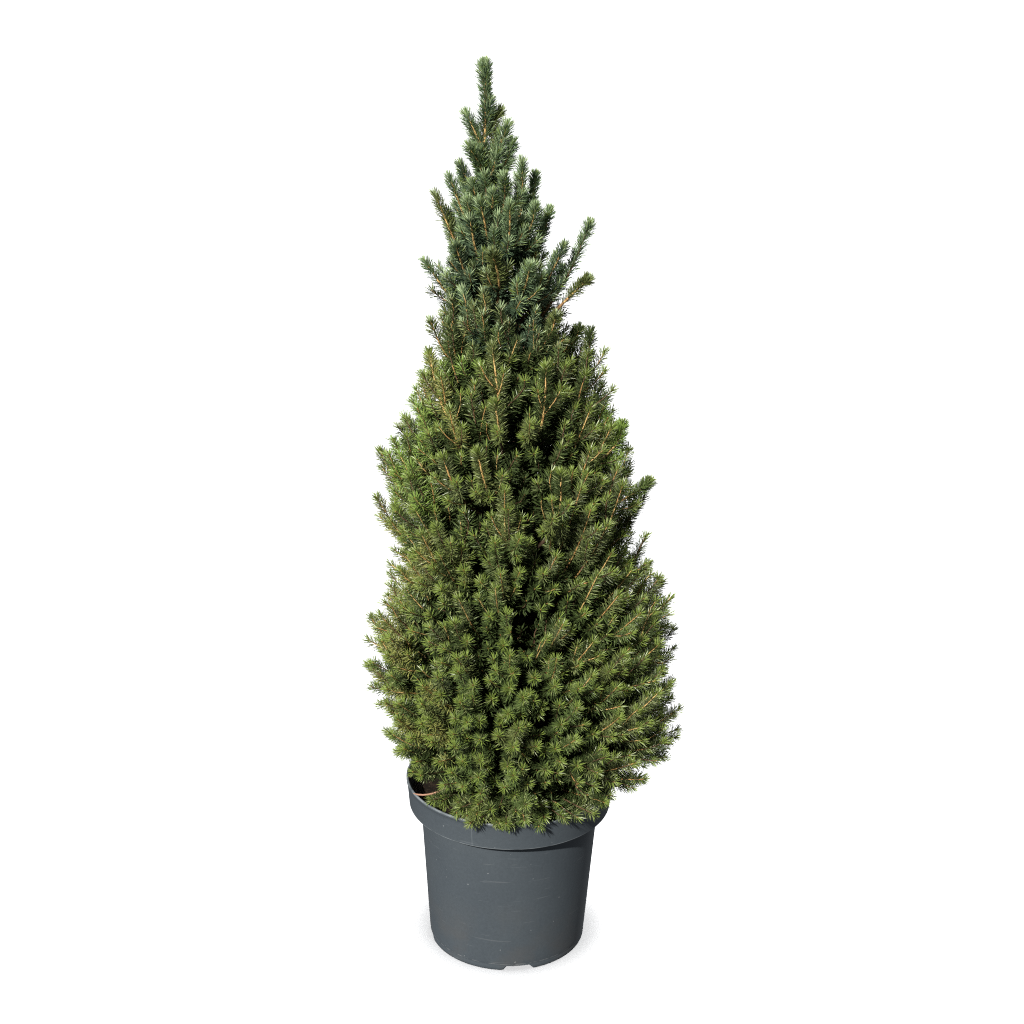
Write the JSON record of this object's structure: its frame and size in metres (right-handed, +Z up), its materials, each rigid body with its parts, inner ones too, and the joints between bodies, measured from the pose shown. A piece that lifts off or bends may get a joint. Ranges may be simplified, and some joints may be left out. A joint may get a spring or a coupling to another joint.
{
  "type": "potted dwarf conifer",
  "caption": "Dwarf conical spruce with dense short-needled foliage and a leaning leader, growing in a round dark grey plastic nursery pot.",
  "frame": {"origin": "centre of the pot's flat underside, on the pot's axis at floor level", "axes": "+Z up along the pot's axis, -Y towards the front that is seen first, +X to the viewer's right"},
  "size_m": [0.4453, 0.4377, 1.2729],
  "materials": {
    "pot_plastic": "matte",
    "potting_soil": "matte",
    "bark": "matte",
    "foliage_olive": "matte",
    "foliage_mid_green": "matte",
    "foliage_bluish": "matte"
  },
  "bodies": {
    "root": {"pot": "pot_plastic", "soil": "potting_soil", "trunk": "bark", "bough_belly_1": "bark", "bough_belly_2": "bark", "bough_belly_3": "bark", "bough_belly_4": "bark", "bough_belly_5": "bark", "bough_belly_6": "bark", "bough_low_1": "bark", "bough_low_2": "bark", "bough_low_3": "bark", "bough_low_4": "bark", "bough_low_5": "bark", "bough_low_6": "bark", "bough_mid_1": "bark", "bough_mid_2": "bark", "bough_mid_3": "bark", "bough_mid_4": "bark", "bough_mid_5": "bark", "bough_right_plume": "bark", "foliage_belly_1": "foliage_olive", "foliage_belly_2": "foliage_olive", "foliage_belly_3": "foliage_olive", "foliage_belly_4": "foliage_olive", "foliage_belly_5": "foliage_olive", "foliage_belly_6": "foliage_olive", "foliage_drape_1": "foliage_olive", "foliage_drape_2": "foliage_olive", "foliage_drape_3": "foliage_olive", "foliage_drape_4": "foliage_olive", "foliage_drape_5": "foliage_olive", "foliage_high_1": "foliage_mid_green", "foliage_high_2": "foliage_mid_green", "foliage_high_3": "foliage_mid_green", "foliage_high_4": "foliage_mid_green", "foliage_leader": "foliage_bluish", "foliage_low_1": "foliage_olive", "foliage_low_2": "foliage_olive", "foliage_low_3": "foliage_olive", "foliage_low_4": "foliage_olive", "foliage_low_5": "foliage_olive", "foliage_low_6": "foliage_olive", "foliage_mid_1": "foliage_mid_green", "foliage_mid_2": "foliage_mid_green", "foliage_mid_3": "foliage_mid_green", "foliage_mid_4": "foliage_mid_green", "foliage_mid_5": "foliage_mid_green", "foliage_neck_1": "foliage_bluish", "foliage_neck_2": "foliage_bluish", "foliage_neck_3": "foliage_bluish", "foliage_right_plume": "foliage_bluish", "foliage_shoulder_1": "foliage_bluish", "foliage_shoulder_2": "foliage_bluish", "foliage_shoulder_3": "foliage_bluish", "foliage_shoulder_4": "foliage_bluish", "foliage_top_1": "foliage_bluish", "foliage_top_2": "foliage_bluish", "foliage_top_3": "foliage_bluish"}
  },
  "joints": []
}
